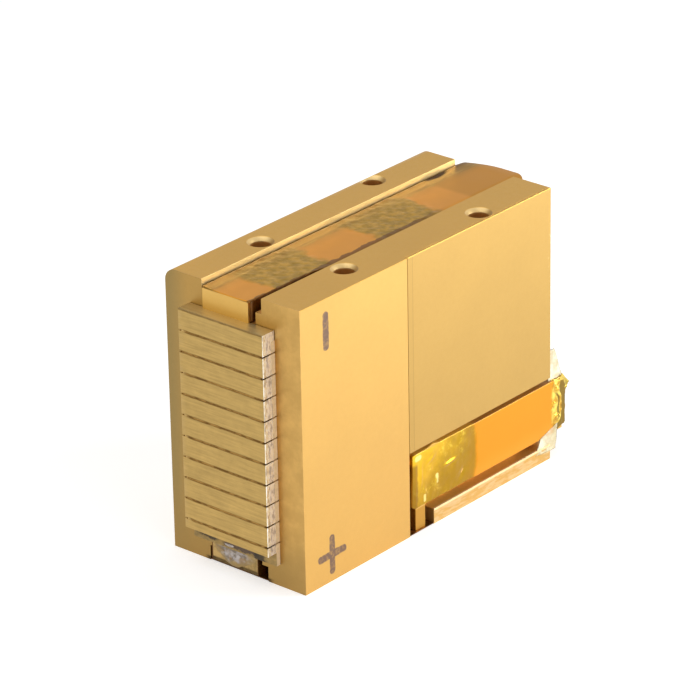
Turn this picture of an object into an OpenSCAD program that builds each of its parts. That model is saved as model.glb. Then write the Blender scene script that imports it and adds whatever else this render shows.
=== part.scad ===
// Water-cooled stack of laser diode bars: a gold-plated cooler block carries ten bars on its front
// face, and two wrapped copper straps bring the current to the top and the bottom of the stack.
// X runs across the bars, Y from the light-emitting front to the water ports, Z up the stack.

/* [Cooler block] */
// Width of the block
body_w = 17; // [16.4:0.2:19]
// Length of the block, front face to back face
body_l = 38.3; // [37:0.5:42]
// Radius along the block's upper left edge
edge_round = 1.3; // [0.6:0.1:1.6]

/* [Bar stack] */
// Number of laser bars
bar_count = 10; // [8:1:10]
// Distance from one bar to the next
bar_pitch = 2.23; // [2.1:0.01:2.4]
// Width of one bar
bar_w = 10; // [9:0.1:10.4]
// Length of the laser cavity
bar_l = 1.05; // [0.9:0.05:1.1]
// Thickness of a bar with its solder
bar_t = 0.14; // [0.1:0.01:0.2]
// How far a bar's facet lies behind the spacer fronts
bar_recess = 0.03; // [0:0.01:0.08]
// Width of the spacers
spacer_w = 10.7; // [10.5:0.1:11.4]
// Depth of the spacers, front to back
spacer_d = 1.2; // [1.15:0.05:1.6]
// Thickness of the plate on top of the stack
top_plate_t = 2.18; // [1.8:0.02:2.6]
// Thickness of the plate under the stack
bottom_plate_t = 0.93; // [0.7:0.01:1.3]
// Thickness of the ceramic insulators
ceramic_t = 0.55; // [0.4:0.05:0.8]
// Height of the ledge that leads from the top plate back to its strap
ledge_h = 1; // [0.6:0.1:1.4]
// Air gap that keeps the ledge off the block
ledge_gap = 0.05; // [0.04:0.01:0.1]

/* [Straps] */
// Width of both straps
strap_w = 5.8; // [5.4:0.05:6.2]
// Thickness of both straps in their channels
strap_t = 2.12; // [1.6:0.02:2.3]
// Left edge of both straps, measured from the block's middle plane
strap_left = -3.45; // [-3.6:0.05:-3.3]
// Thickness of the film wrapped round the straps
film_t = 0.08; // [0.05:0.01:0.12]
// Depth of the upper strap below the block's top
top_recess = 0.7; // [0.4:0.1:1]
// Height of the lower strap above the block's underside
bottom_recess = 0.16; // [0.12:0.02:0.5]
// How far the upper strap's end stands in front of the block
tab_overhang = 0.3; // [0.2:0.05:0.5]
// Where the upper strap's film widens to fill the channel, measured from the block's front
wing_start = 7; // [4:0.5:12]
// Free space between the widened film and the channel's walls
wing_gap = 0.15; // [0.1:0.05:0.3]
// How far both straps stand out behind the block
rear_overhang = 2.2; // [1:0.1:3]
// How far the film reaches past the straps' rear ends
film_tail = 0.5; // [0.3:0.1:1]
// Thickness of the lower strap's plate on the side
side_strap_t = 1.4; // [1:0.1:1.8]
// Height of the lower strap's plate on the side
side_strap_h = 5.8; // [5:0.1:6.4]
// Width of the leg that joins the lower strap to its side plate
leg_w = 1.5; // [1.2:0.1:2]

/* [Channels] */
// Width of the channels at the block's surface
channel_w = 7.5; // [7.4:0.1:8]
// Depth of the channels' wide upper step
channel_step = 1.6; // [1:0.1:2]
// Free space beside a strap at the bottom of its channel
channel_gap = 0.57; // [0.4:0.01:0.7]
// Front end of the side slot, measured from the block's front
slot_start = 15.8; // [14:0.2:18]
// Free space at the front of the side slot
slot_gap = 1.1; // [0.6:0.1:1.6]
// Height of the block's lip below the side slot
lip_h = 1.65; // [1.2:0.05:1.8]
// Free space between the lip and the side plate
lip_gap = 1; // [0.5:0.02:1.2]
// Free space above the side plate
slot_top_gap = 0.54; // [0.2:0.02:0.8]
// Depth of the side plate below the block's side
side_recess = 0.12; // [0.05:0.01:0.3]

/* [Side cover] */
// Thickness of the cover plate on the block's side
cover_t = 0.3; // [0.2:0.1:0.8]
// Seam between the cover plate and the block
cover_seam = 0.07; // [0.05:0.01:0.15]

/* [Tapped holes] */
// Radius of the tapped holes on top, as drilled
tap_r = 1.025; // [0.8:0.025:1.25]
// Depth of the tapped holes on top
tap_depth = 6; // [3:0.5:8]
// Radius of the countersinks at the hole mouths
sink_r = 1.4; // [1.3:0.05:1.5]
// Distance between the two front holes
front_hole_spacing = 10.6; // [10.4:0.2:11.6]
// Distance between the two rear holes
rear_hole_spacing = 13.6; // [11.4:0.2:13.8]
// Front holes, measured from the block's front
front_hole_y = 10.25; // [8:0.25:14]
// Rear holes, measured from the block's front
rear_hole_y = 28.9; // [24:0.1:31]

/* [Water ports] */
// Radius of the two water ports
port_r = 2; // [1.5:0.1:2.2]
// Distance between the two ports
port_spacing = 14; // [12:0.5:15]
// Radius of the seats for the sealing rings
seat_r = 3.4; // [3.1:0.1:3.6]
// Depth of the seats for the sealing rings
seat_depth = 1.1; // [0.8:0.1:1.3]
// Thickness of a sealing ring
ring_t = 1.3; // [1:0.1:1.4]
// Distance between the two screw holes beside the ports
port_screw_spacing = 11; // [9.5:0.5:11.5]
// Radius of the screw holes beside the ports, as drilled
port_screw_r = 1.25; // [1:0.05:1.3]
// Radius of the countersinks of the screw holes beside the ports
port_sink_r = 1.5; // [1.35:0.05:1.7]
// Depth of the screw holes beside the ports
port_screw_depth = 8; // [5:0.5:12]
// Number of cooling slots behind the stack
fin_slots = 4; // [2:1:4]
// Width of a cooling slot
fin_slot_w = 1; // [0.6:0.1:1.2]
// Distance between two cooling slots
fin_pitch = 2; // [1.8:0.1:2.2]
// Depth of the cooling slots, front to back
fin_slot_d = 2.4; // [1.6:0.2:3.2]
// Wall between the cooling slots and the block's front
front_wall = 2.4; // [1.5:0.1:3]

/* [Hidden] */
$fn = 48;
overrun = 1;

// Heights, built up from the block's underside
lower_strap_top = bottom_recess + strap_t;
ceramic_tail = 1.44;
stack_bottom = lower_strap_top + film_t + ceramic_tail;
spacer_h = bar_pitch - bar_t;
stack_h = bottom_plate_t + top_plate_t + bar_count * bar_t + (bar_count - 1) * spacer_h;
stack_top = stack_bottom + stack_h;
upper_strap_top = stack_top + strap_t;
body_h = upper_strap_top + top_recess;

// Lengths, with the origin at the middle of the whole footprint
stack_d = spacer_d + ceramic_t;
front_y = stack_d - (stack_d + body_l + rear_overhang + film_tail) / 2;
back_y = front_y + body_l;
strap_end_y = back_y + rear_overhang;
film_end_y = strap_end_y + film_tail;
stack_y = front_y - stack_d;

// Widths
side_x = body_w / 2;
strap_right = strap_left + strap_w;
slot_left = strap_left - film_t;
slot_right = strap_right + film_t + channel_gap;
side_plate_x = side_x - side_recess - film_t - side_strap_t;
slot_floor_x = side_plate_x - film_t;

// Lower strap's leg and side slot
leg_y = front_y + slot_start + slot_gap;
notch_back_y = leg_y + leg_w + slot_gap;
side_plate_z = lip_h + lip_gap;
slot_top = side_plate_z + side_strap_h + film_t + slot_top_gap;

// Water passages
port_mid_z = body_h / 2;
fin_y = front_y + front_wall;
fin_span = (fin_slots - 1) * fin_pitch + fin_slot_w;
fin_h = port_spacing + 2 * port_r;

// A node's name with a two-digit number, such as spacer_03
function numbered(name, i) = str(name, "_", i < 10 ? "0" : "", i);

// Underside of spacer i, counted from the top of the stack
function spacer_z(i) = i == 1
    ? stack_top - top_plate_t
    : i > bar_count ? stack_bottom : stack_top - top_plate_t - (i - 1) * bar_pitch;

// Height of spacer i
function spacer_height(i) = i == 1 ? top_plate_t : i > bar_count ? bottom_plate_t : spacer_h;

// A box given by its lowest and highest value on each axis
module box_between(x, y, z) {
    translate([x[0], y[0], z[0]])
        cube([x[1] - x[0], y[1] - y[0], z[1] - z[0]]);
}

// What is cut away to round an edge that runs along Y, with the edge at x, z
module long_edge_cut(x, z, r) {
    difference() {
        box_between([x - overrun, x + r], [front_y - overrun, back_y + overrun], [z - r, z + overrun]);
        translate([x + r, front_y - 2 * overrun, z - r])
            rotate([-90, 0, 0])
                cylinder(r = r, h = body_l + 4 * overrun);
    }
}

// Round hole that runs into the block from a mouth at the origin, along -Z
module countersunk_hole(r, mouth_r, depth) {
    translate([0, 0, -depth])
        cylinder(r = r, h = depth + overrun);
    translate([0, 0, r - mouth_r])
        cylinder(r1 = r, r2 = mouth_r, h = mouth_r - r);
    cylinder(r = mouth_r, h = overrun);
}

// A pair of countersunk holes on the block's top
module top_holes(spacing, y) {
    for (side = [-1, 1])
        translate([side * spacing / 2, front_y + y, body_h])
            countersunk_hole(tap_r, sink_r, tap_depth);
}

// Stepped channel for the upper strap, open at the top and at both ends
module upper_channel() {
    y = [front_y - overrun, back_y + overrun];
    box_between([-channel_w / 2, channel_w / 2], y, [body_h - channel_step, body_h + overrun]);
    box_between([slot_left, slot_right], y, [stack_top - film_t, body_h]);
}

// Stepped channel for the lower strap, with the notch that leads its leg out to the side
module lower_channel() {
    y = [front_y - overrun, notch_back_y];
    top = lower_strap_top + film_t;
    box_between([-channel_w / 2, channel_w / 2], y, [-overrun, channel_step]);
    box_between([slot_left, slot_right], y, [-overrun, top]);
    box_between([0, side_x + overrun], [front_y + slot_start, notch_back_y], [-overrun, top]);
}

// Slot in the block's side for the lower strap's side plate
module side_slot() {
    x = [slot_floor_x, side_x + overrun];
    box_between(x, [front_y + slot_start, back_y + overrun], [lip_h, slot_top]);
}

// Shallow rebate for the side cover, open at the top and at the back
module cover_rebate() {
    box_between(
        [side_x - cover_t, side_x + overrun],
        [front_y + slot_start, back_y + overrun],
        [slot_top - overrun, body_h + overrun]
    );
}

// Both ports with their ring seats, and the screw holes beside them
module port_holes() {
    for (side = [-1, 1])
        translate([0, back_y, port_mid_z + side * port_spacing / 2])
            rotate([-90, 0, 0]) {
                translate([0, 0, fin_y - back_y])
                    cylinder(r = port_r, h = back_y - fin_y + overrun);
                translate([0, 0, -seat_depth])
                    cylinder(r = seat_r, h = seat_depth + overrun);
            }
    for (side = [-1, 1])
        translate([side * port_screw_spacing / 2, back_y, port_mid_z])
            rotate([-90, 0, 0])
                countersunk_hole(port_screw_r, port_sink_r, port_screw_depth);
}

// Cooling slots behind the stack, joined to the ports by two cross passages
module cooling_slots() {
    for (i = [0 : fin_slots - 1])
        translate([i * fin_pitch - fin_span / 2, fin_y, port_mid_z - fin_h / 2])
            cube([fin_slot_w, fin_slot_d, fin_h]);
    for (side = [-1, 1])
        translate([-fin_span / 2, fin_y, port_mid_z + side * port_spacing / 2 - port_r])
            cube([fin_span, fin_slot_d, 2 * port_r]);
}

module cooler_body() {
    color("goldenrod")
        difference() {
            box_between([-side_x, side_x], [front_y, back_y], [0, body_h]);
            long_edge_cut(-side_x, body_h, edge_round);
            upper_channel();
            lower_channel();
            side_slot();
            cover_rebate();
            top_holes(front_hole_spacing, front_hole_y);
            top_holes(rear_hole_spacing, rear_hole_y);
            port_holes();
            cooling_slots();
        }
}

module side_cover() {
    color("gold")
        difference() {
            box_between(
                [side_x - cover_t, side_x],
                [front_y + slot_start + cover_seam, back_y],
                [slot_top, body_h]
            );
            top_holes(rear_hole_spacing, rear_hole_y);
        }
}

// Turns a side view, drawn as y and z, into a bar that spans x
module bar_across(x) {
    translate([x[0], 0, 0])
        rotate([90, 0, 90])
            linear_extrude(x[1] - x[0])
                children();
}

// The upper strap between two values of y, grown on all four sides by a film of thickness grow
module upper_strap(y, grow) {
    box_between(
        [strap_left - grow, strap_right + grow],
        y,
        [stack_top - grow, upper_strap_top + grow]
    );
}

module negative_strap() {
    color("darkgoldenrod")
        upper_strap([front_y - tab_overhang, strap_end_y], 0);
}

// The tape round the upper strap, with wings that reach almost to the channel's walls
module negative_strap_film() {
    wing_x = channel_w / 2 - wing_gap;
    color("peru")
        difference() {
            union() {
                upper_strap([front_y, film_end_y], film_t);
                box_between(
                    [-wing_x, wing_x],
                    [front_y + wing_start, film_end_y],
                    [upper_strap_top, upper_strap_top + film_t]
                );
            }
            upper_strap([front_y - overrun, film_end_y + overrun], 0);
        }
}

// The lower strap: a bar in the lower channel, a leg out to the side and a plate along the side slot
module lower_strap_bar() {
    z = [bottom_recess, lower_strap_top];
    box_between([strap_left, strap_right], [front_y, leg_y + leg_w], z);
    box_between([strap_left, side_plate_x + side_strap_t], [leg_y, leg_y + leg_w], z);
}

// The lower strap's plate along the side up to end_y, grown by a film of thickness grow
module side_plate(end_y, grow) {
    box_between(
        [side_plate_x - grow, side_plate_x + side_strap_t + grow],
        [leg_y, end_y],
        [side_plate_z - grow, side_plate_z + side_strap_h + grow]
    );
}

// The short riser from the leg's outer end up to the side plate
module strap_riser() {
    box_between(
        [side_plate_x, side_plate_x + side_strap_t],
        [leg_y, leg_y + leg_w],
        [bottom_recess, side_plate_z]
    );
}

module positive_strap() {
    color("darkgoldenrod") {
        union() {
            lower_strap_bar();
            strap_riser();
            side_plate(strap_end_y, 0);
        }
    }
}

module positive_strap_film() {
    color("orange")
        difference() {
            side_plate(film_end_y, film_t);
            side_plate(film_end_y + overrun, 0);
            lower_strap_bar();
            strap_riser();
        }
}

// The film round the lower strap; its underside spans the channel and the notch from wall to wall
module lower_channel_film() {
    under = [bottom_recess - film_t, bottom_recess];
    color("sienna")
        difference() {
            union() {
                box_between(
                    [strap_left - film_t, strap_right + film_t],
                    [front_y, leg_y],
                    [bottom_recess - film_t, lower_strap_top + film_t]
                );
                box_between([-channel_w / 2, channel_w / 2], [front_y, notch_back_y], under);
                box_between([0, side_x], [front_y + slot_start, notch_back_y], under);
            }
            lower_strap_bar();
        }
}

// Solder that bridges from the stack's bottom plate, past the last insulator, to the lower strap
module solder_joint() {
    x = [strap_left + strap_w * 0.2, strap_right - strap_w * 0.15];
    back = front_y - ceramic_t;
    color("slategray")
        bar_across(x)
            polygon([
                [stack_y + spacer_d * 0.3, stack_bottom],
                [back, stack_bottom],
                [back, stack_bottom - ceramic_tail],
                [front_y, stack_bottom - ceramic_tail],
                [front_y, bottom_recess + strap_t * 0.25],
                [front_y - ceramic_t * 0.35, bottom_recess + strap_t * 0.4],
                [back, bottom_recess + strap_t * 0.85],
                [back - spacer_d * 0.35, stack_bottom - ceramic_tail * 0.55]
            ]);
}

// Spacer i, counted from the top; the first one has a ledge that reaches back to the upper strap
module spacer(i) {
    z = spacer_z(i);
    x = [-spacer_w / 2, spacer_w / 2];
    color("tan") {
        union() {
            box_between(x, [stack_y, stack_y + spacer_d], [z, z + spacer_height(i)]);
            if (i == 1)
                box_between(x, [stack_y, front_y - ledge_gap], [stack_top - ledge_h, stack_top]);
        }
    }
}

module laser_bar(i) {
    color("dimgray")
        box_between(
            [-bar_w / 2, bar_w / 2],
            [stack_y + bar_recess, stack_y + bar_recess + bar_l],
            [spacer_z(i) - bar_t, spacer_z(i)]
        );
}

// Insulator behind spacer i; the last one reaches down past the stack
module ceramic(i) {
    top = i == 1 ? stack_top - ledge_h : spacer_z(i) + spacer_height(i);
    bottom = i > bar_count ? stack_bottom - ceramic_tail : spacer_z(i);
    color("ivory")
        box_between([-spacer_w / 2, spacer_w / 2], [front_y - ceramic_t, front_y], [bottom, top]);
}

// Rubber ring in the seat of one port
module port_seal(side) {
    color("dimgray")
        translate([0, back_y - seat_depth + ring_t / 2, port_mid_z + side * port_spacing / 2])
            rotate([-90, 0, 0])
                rotate_extrude()
                    translate([seat_r - ring_t / 2, 0])
                        circle(d = ring_t, $fn = 24);
}

cooler_body();
side_cover();
negative_strap();
positive_strap();
negative_strap_film();
positive_strap_film();
lower_channel_film();
solder_joint();
port_seal(-1);  // inlet_seal
port_seal(1);  // outlet_seal
for (i = [1 : bar_count + 1])
    spacer(i);
for (i = [1 : bar_count])
    laser_bar(i);
for (i = [1 : bar_count + 1])
    ceramic(i);
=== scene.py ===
# %% [markdown]
# # A water-cooled stack of laser diode bars
#
# The real object is a gold-plated copper block, 38 mm long and 30 mm high. Ten laser bars sit between
# metal spacers on its front, pale ceramic keeps them apart from the block, and two copper straps wrapped
# in amber polyimide tape bring in the current.
#
# The solid pieces come from the CAD model, which is loaded first and never moved. This script gives them
# their finishes, and adds what the CAD leaves plain: the wrinkled tape, the solder and the printed marks.

# %% Load the frame
import math

import bmesh
import bpy
import numpy as np
from mathutils import Matrix, Vector


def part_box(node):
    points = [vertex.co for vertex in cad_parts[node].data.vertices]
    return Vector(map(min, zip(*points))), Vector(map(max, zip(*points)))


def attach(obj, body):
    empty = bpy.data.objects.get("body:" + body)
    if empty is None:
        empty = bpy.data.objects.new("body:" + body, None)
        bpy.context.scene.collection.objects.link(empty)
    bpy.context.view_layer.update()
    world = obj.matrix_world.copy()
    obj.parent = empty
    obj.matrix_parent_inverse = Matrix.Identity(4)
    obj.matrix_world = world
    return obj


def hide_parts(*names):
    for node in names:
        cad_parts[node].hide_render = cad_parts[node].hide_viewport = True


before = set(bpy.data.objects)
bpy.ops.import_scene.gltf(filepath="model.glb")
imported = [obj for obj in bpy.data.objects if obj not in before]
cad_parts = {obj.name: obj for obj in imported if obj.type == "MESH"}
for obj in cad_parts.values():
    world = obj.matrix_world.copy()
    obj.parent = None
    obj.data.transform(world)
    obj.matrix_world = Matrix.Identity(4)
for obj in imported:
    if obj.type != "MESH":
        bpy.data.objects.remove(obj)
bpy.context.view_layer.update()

MM = 0.001


def box_mm(node):
    """Lowest and highest corner of a CAD node, in millimetres."""
    low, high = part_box(node)
    return np.array(low) / MM, np.array(high) / MM


block_low, block_high = box_mm("cooler_body")
FRONT, BACK = block_low[1], block_high[1]
RIGHT, TOP = block_high[0], block_high[2]
strap_low, strap_high = box_mm("negative_strap")
plate_low, plate_high = box_mm("positive_strap_film")
lower_film_low, lower_film_high = box_mm("lower_channel_film")
cover_front, cover_bottom = box_mm("side_cover")[0][1:]
stack_low, stack_high = box_mm("spacer_02")
print(f"block {block_high - block_low} mm, front at y {FRONT:.3f} mm, {len(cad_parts)} nodes")

# %% [markdown]
# ## A small language for shaders
#
# A procedural finish is arithmetic on patterns: noise times a mask, plus a tone. Blender writes that as a
# chain of Math nodes, which is hard to read. The class below wraps one socket and gives it the ordinary
# operators, so the finishes further down read like formulas. It was chosen over building each Math node
# by hand because a formula shows at a glance what lies on what. All patterns read Object coordinates in
# millimetres, so a stain stays where it is measured whatever is around it.

# %% The shader classes
class Value:
    """A number that varies over a surface: one output socket of a finish's node tree."""

    def __init__(self, finish, socket):
        self.finish, self.socket = finish, socket

    def _math(self, operation, *others, clamp=False):
        return self.finish.node(
            "ShaderNodeMath", {"operation": operation, "use_clamp": clamp},
            **{str(i): v for i, v in enumerate((self, *others))},
        )

    def __add__(self, other):
        return self._math("ADD", other)

    def __sub__(self, other):
        return self._math("SUBTRACT", other)

    def __rsub__(self, other):
        return (self * -1) + other

    def __mul__(self, other):
        return self._math("MULTIPLY", other)

    def __truediv__(self, other):
        return self._math("DIVIDE", other)

    def __abs__(self):
        return self._math("ABSOLUTE")

    __radd__, __rmul__ = __add__, __mul__

    def highest(self, other):
        return self._math("MAXIMUM", other)

    def root(self):
        return self._math("SQRT")

    def fraction(self):
        """What is left after the decimal point, for a pattern that repeats."""
        return self._math("FRACT")

    def above(self, level):
        """How far the value lies over a level, and 0 below it."""
        return (self - level).highest(0.0)

    def clipped(self):
        return self._math("ADD", 0.0, clamp=True)

    def fade(self, low, high):
        """0 below low, 1 above high, and a smooth step in between; low above high turns it round."""
        if low > high:
            return 1 - self.fade(high, low)
        return self.finish.node(
            "ShaderNodeMapRange", {"interpolation_type": "SMOOTHSTEP"},
            Value=self, **{"From Min": low, "From Max": high},
        )


class Finish:
    """A material under construction, with Object coordinates in millimetres as x, y and z."""

    def __init__(self, name):
        self.material = bpy.data.materials.new(name)
        self.material.use_nodes = True
        self.tree = self.material.node_tree
        self.tree.nodes.clear()
        self.output = self.tree.nodes.new("ShaderNodeOutputMaterial")
        coordinates = self.node("ShaderNodeTexCoord", {}, take="Object")
        self.place = self.node(
            "ShaderNodeVectorMath", {"operation": "SCALE"}, **{"0": coordinates, "Scale": 1 / MM}
        )
        apart = self.node("ShaderNodeSeparateXYZ", {}, Vector=self.place)
        self.x, self.y, self.z = (Value(self, apart.socket.node.outputs[i]) for i in range(3))

    def node(self, kind, settings, take=0, **inputs):
        """Adds a node: first its settings, then its inputs by name or number; returns one output."""
        made = self.tree.nodes.new(kind)
        for name, value in settings.items():
            setattr(made, name, value)
        for name, value in inputs.items():
            socket = made.inputs[int(name) if name.isdigit() else name]
            if isinstance(value, Value):
                self.tree.links.new(value.socket, socket)
            elif hasattr(value, "__len__") and socket.type == "RGBA":
                socket.default_value = (*value, 1.0)
            else:
                socket.default_value = value
        return Value(self, made.outputs[take])

    def stretched(self, sx, sy, sz):
        """The place, scaled along each axis, for patterns that run longer one way."""
        return self.node(
            "ShaderNodeVectorMath", {"operation": "MULTIPLY"}, **{"0": self.place, "1": (sx, sy, sz)}
        )

    def noise(self, per_mm, detail=3.0, rough=0.5, place=None):
        """Cloudy noise from 0 to 1, with about per_mm blobs to the millimetre."""
        return self.node(
            "ShaderNodeTexNoise", {},
            Vector=place or self.place, Scale=per_mm, Detail=detail, Roughness=rough,
        )

    def wander(self, per_mm, reach_mm, **more):
        """Noise centred on 0, up to half of reach_mm either way, that makes a straight border ragged."""
        return (self.noise(per_mm, **more) - 0.5) * reach_mm

    def blend(self, factor, below, above):
        """The colour below where factor is 0 and above where it is 1."""
        return self.node(
            "ShaderNodeMix", {"data_type": "RGBA"}, take=2, **{"0": factor, "6": below, "7": above}
        )

    def tint(self, colour, amount):
        """A colour made lighter or darker by amount, which is 1 where it stays."""
        grey = self.node("ShaderNodeCombineXYZ", {}, X=amount, Y=amount, Z=amount)
        return self.node(
            "ShaderNodeMix", {"data_type": "RGBA", "blend_type": "MULTIPLY"}, take=2,
            **{"0": 1.0, "6": colour, "7": grey},
        )

    def bump(self, height, depth_mm):
        """A bump whose height runs from 0 to 1 over depth_mm."""
        return self.node("ShaderNodeBump", {}, Height=height * depth_mm, Strength=1.0, Distance=MM)

    def shade(self, **inputs):
        """Ends the finish in one Principled shader; underscores in names stand for spaces."""
        named = {name.replace("_", " "): value for name, value in inputs.items()}
        shader = self.node("ShaderNodeBsdfPrincipled", {}, **named)
        self.tree.links.new(shader.socket, self.output.inputs["Surface"])
        return self.material


def srgb(red, green, blue):
    """A colour named by its usual 0 to 255 values, turned into the linear light that Blender mixes."""
    part = np.array([red, green, blue]) / 255
    return tuple(np.where(part <= 0.04045, part / 12.92, ((part + 0.055) / 1.055) ** 2.4))


print("shader classes ready")

# %% [markdown]
# ## Camera
#
# The camera looks at the block from the front right and a little above, through a long lens, so the
# edges stay almost parallel. A Track To constraint could aim it, but that always holds it level. So it
# is placed by its distance from the block's front lower edge and turned by three angles: round the
# block, down onto it, and a slight roll.

# %% Place the camera
ROUND, DOWN, ROLL = (math.radians(a) for a in (40.61, 24.60, -1.03))
CAMERA_FROM_FRONT_EDGE = Vector((247.30, -271.35, 191.38)) * MM

forward = Vector((-math.sin(ROUND) * math.cos(DOWN), math.cos(ROUND) * math.cos(DOWN), -math.sin(DOWN)))
level_right = Vector((math.cos(ROUND), math.sin(ROUND), 0))
level_up = level_right.cross(forward)
right = math.cos(ROLL) * level_right + math.sin(ROLL) * level_up
up = math.cos(ROLL) * level_up - math.sin(ROLL) * level_right

lens = bpy.data.cameras.new("product_lens")
lens.sensor_width = 36
lens.lens = 218.5
lens.clip_start, lens.clip_end = 0.01, 10
camera = bpy.data.objects.new("product_camera", lens)
camera.matrix_world = Matrix.Translation(
    CAMERA_FROM_FRONT_EDGE + Vector((0, FRONT * MM, 0))
) @ Matrix((right, up, -forward)).transposed().to_4x4()
bpy.context.scene.collection.objects.link(camera)
bpy.context.scene.camera = camera
print(f"camera {camera.location.length / MM:.0f} mm away")

# %% [markdown]
# ## Floor and light
#
# Polished and plated metal has hardly any colour of its own light: it shows its surroundings. So the
# room is a plain white tent. The world is white to the camera and to reflections, and only softly grey
# to the matt light that falls on surfaces. One evenly white world could light the whole scene, but it
# would give the block no shape. Four large lamps do that: a broad one on the right makes the side face
# the brightest, as the eye expects of satin gold.

# %% Build the tent
def world_tent(ambient):
    """White where it is seen directly, mirrored or looked through; ambient grey as a light."""
    world = bpy.data.worlds.new("tent")
    bpy.context.scene.world = world
    world.use_nodes = True
    nodes, links = world.node_tree.nodes, world.node_tree.links
    nodes.clear()
    path = nodes.new("ShaderNodeLightPath")
    seen = None
    for ray in ("Is Camera Ray", "Is Glossy Ray", "Is Transmission Ray"):
        if seen is None:
            seen = path.outputs[ray]
            continue
        either = nodes.new("ShaderNodeMath")
        either.operation = "MAXIMUM"
        links.new(seen, either.inputs[0])
        links.new(path.outputs[ray], either.inputs[1])
        seen = either.outputs[0]
    strength = nodes.new("ShaderNodeMapRange")
    links.new(seen, strength.inputs["Value"])
    strength.inputs["To Min"].default_value = ambient
    strength.inputs["To Max"].default_value = 1.0
    light = nodes.new("ShaderNodeBackground")
    links.new(strength.outputs[0], light.inputs["Strength"])
    links.new(light.outputs[0], nodes.new("ShaderNodeOutputWorld").inputs["Surface"])


def floor_finish():
    """Pale card: lit like any matt card, with enough glow of its own to read as white."""
    card = Finish("pale_floor")
    path = card.node("ShaderNodeLightPath", {}, take="Is Camera Ray")
    glossy = Value(card, path.socket.node.outputs["Is Glossy Ray"])
    through = Value(card, path.socket.node.outputs["Is Transmission Ray"])
    seen = path.highest(glossy).highest(through)
    matt = card.node("ShaderNodeBsdfDiffuse", {}, Color=(0.8, 0.8, 0.8))
    glow = card.node("ShaderNodeEmission", {}, Color=(1.0, 1.0, 1.0), Strength=seen * 0.55)
    both = card.node("ShaderNodeAddShader", {}, **{"0": matt, "1": glow})
    card.tree.links.new(both.socket, card.output.inputs["Surface"])
    return card.material


def lamp(name, place, size, watts):
    """A square soft lamp at place, in millimetres, that faces the middle of the object."""
    data = bpy.data.lights.new(name, "AREA")
    data.size, data.energy = size * MM, watts
    made = bpy.data.objects.new(name, data)
    made.location = Vector(place) * MM
    middle = Vector((0, 0, TOP / 2)) * MM
    made.rotation_euler = (middle - made.location).to_track_quat("-Z", "Y").to_euler()
    bpy.context.scene.collection.objects.link(made)


world_tent(0.35)
bpy.ops.mesh.primitive_plane_add(size=3)
floor = bpy.context.object
floor.name = "floor"
floor.data.materials.append(floor_finish())

lamp("side_softbox", (210, 190, 75), 150, 0.80)
lamp("right_front", (260, -110, 60), 110, 0.18)
lamp("top_softbox", (-40, -60, 300), 260, 0.30)
lamp("front_fill", (-120, -260, 90), 200, 0.06)

bpy.context.scene.view_settings.view_transform = "Standard"
print("tent, floor and four lamps")

# %% [markdown]
# ## Gold plating
#
# The block is copper, milled and then plated with gold over a fine matt ground. Its slots and holes
# are painted with shade: brown, duller and less metallic, with a painted highlight on the walls that
# face the light. A mask for them could be drawn into each mesh, but the CAD meshes stay as they are. So
# each mask is worked out from the place on the block: which slot a point lies in follows from its x, y and
# z.

# %% Masks for the slots and holes
CHANNEL_HALF = -lower_film_low[0]
SEAM = 0.07
NOTCH_FRONT, NOTCH_BACK = cover_front - SEAM, lower_film_high[1]
# Heights of the roof over the lower strap's bar, and of the lip under its side plate
RECESS_ROOF, LIP_TOP = 2.55, 1.65
FRONT_HOLE, REAR_HOLE = (5.3, FRONT + 10.25), (6.8, FRONT + 28.9)
HOLE_DEPTH = 6


def between(value, low, high, soft=0.04):
    """1 between two levels and 0 outside them, with soft steps."""
    return value.fade(low - soft, low + soft) * value.fade(high + soft, high - soft)


def in_the_slots(gold):
    """1 on the walls of the strap channels, the notch and the side slot: the mask for their painted shade.
    """
    behind_front = gold.y.fade(FRONT + 0.03, FRONT + 0.12)
    in_channel = abs(gold.x).fade(CHANNEL_HALF + 0.04, CHANNEL_HALF - 0.02)
    top_channel = in_channel * between(gold.z, strap_low[2] - 0.2, strap_high[2] - 0.25, 0.1)
    below_roof = gold.z.fade(RECESS_ROOF + 0.05, RECESS_ROOF - 0.05)
    under = in_channel * below_roof * gold.y.fade(NOTCH_BACK + 0.15, NOTCH_BACK)
    notch = between(gold.x, 0, RIGHT - 0.05) * between(gold.y, NOTCH_FRONT, NOTCH_BACK, 0.02) * below_roof
    slot = between(gold.x, plate_low[0] - 0.12, RIGHT - 0.07, 0.03)
    slot = slot * gold.y.fade(NOTCH_FRONT, NOTCH_FRONT + 0.1)
    slot = slot * between(gold.z, LIP_TOP - 0.07, cover_bottom, 0.03)
    return ((top_channel + under) * behind_front + notch + slot).clipped()


def in_the_holes(gold):
    """1 inside the four tapped holes, down from their mouths, and 1 on their left walls alone, which get a
    painted highlight.
    """
    mask, lit_hole_wall = 0, 0
    above_floor = gold.z.fade(TOP - HOLE_DEPTH - 1.0, TOP - HOLE_DEPTH - 0.9)
    for hole_x, hole_y in (FRONT_HOLE, REAR_HOLE):
        for side in (1, -1):
            dx, dy = gold.x - side * hole_x, gold.y - hole_y
            inside = (dx * dx + dy * dy).root().fade(1.45, 1.38) * above_floor
            mask = inside + mask
            lit_hole_wall = inside * (dy * -0.35 + dx).fade(0.35, -0.75) + lit_hole_wall
    return mask, lit_hole_wall


print(f"channels {2 * CHANNEL_HALF:.2f} mm wide, notch {NOTCH_BACK - NOTCH_FRONT:.2f} mm long")

# %% [markdown]
# ## Satin gold
#
# Up close the gold has a soft grain, faint brush lines from finishing, and a tone that drifts a little
# from place to place. A plain yellow metal would look like plastic. So every gold finish starts with
# the drifting tone and ends with the grain, and its own marks are laid over the tone in between.

# %% Gold on the straps and the side cover
# Painted contact shadow along the foot of the block's front and of the lower strap's tab.
FOOT_SHADOW = srgb(52, 38, 20)


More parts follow.
